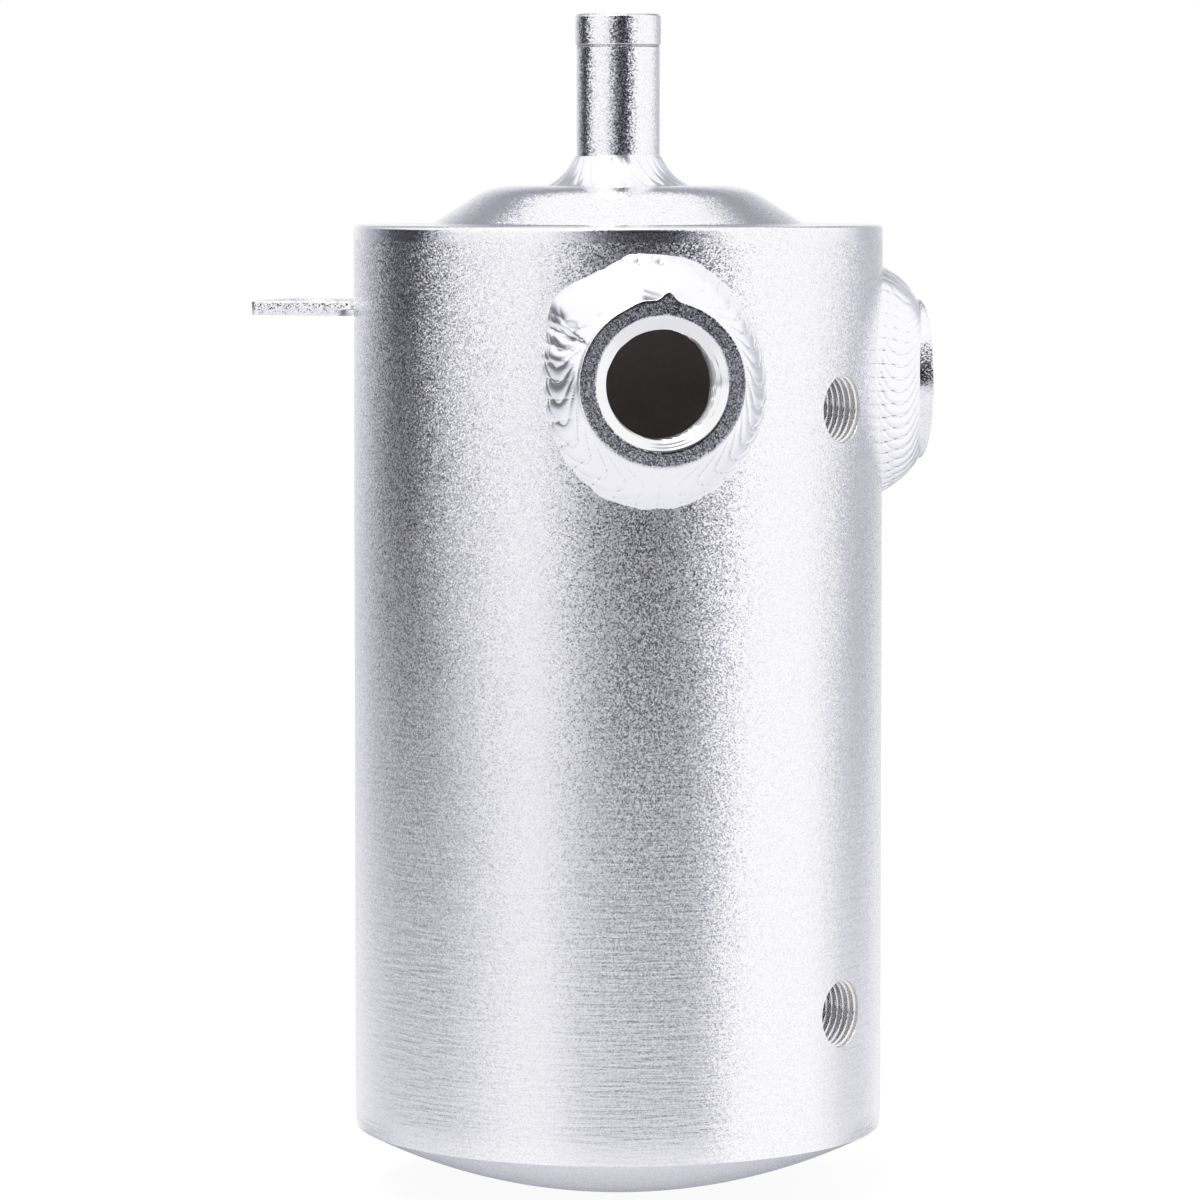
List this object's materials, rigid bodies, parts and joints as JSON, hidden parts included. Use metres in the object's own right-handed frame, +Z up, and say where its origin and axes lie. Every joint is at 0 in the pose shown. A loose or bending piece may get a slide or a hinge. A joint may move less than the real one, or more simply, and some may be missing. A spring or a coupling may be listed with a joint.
{
  "type": "oil catch can",
  "caption": "Welded round aluminium oil catch can with a raised lid, hose nipple, threaded side bungs, tapped sight ports, domed base and a drilled mounting tab.",
  "frame": {"origin": "centre of the mounting tab's bolt hole, on the tab's underside", "axes": "+Z up along the can, +X along the side bung's axis, -Y along the front bung's axis"},
  "size_m": [0.1122, 0.096, 0.1976],
  "materials": {
    "blasted_aluminium": "bead-blasted bright aluminium with fine grain",
    "machined_aluminium": "turned and tapped aluminium",
    "weld_bead": "bright rippled weld metal"
  },
  "bodies": {
    "root": {"base_cap": "blasted_aluminium", "can_tube": "blasted_aluminium", "front_bung": "machined_aluminium", "front_bung_weld": "weld_bead", "lower_sight_boss": "machined_aluminium", "mounting_tab": "blasted_aluminium", "nipple_weld": "weld_bead", "side_bung": "machined_aluminium", "side_bung_weld": "weld_bead", "tab_weld": "weld_bead", "top_cap": "blasted_aluminium", "upper_sight_boss": "machined_aluminium", "vent_nipple": "machined_aluminium"}
  },
  "joints": []
}
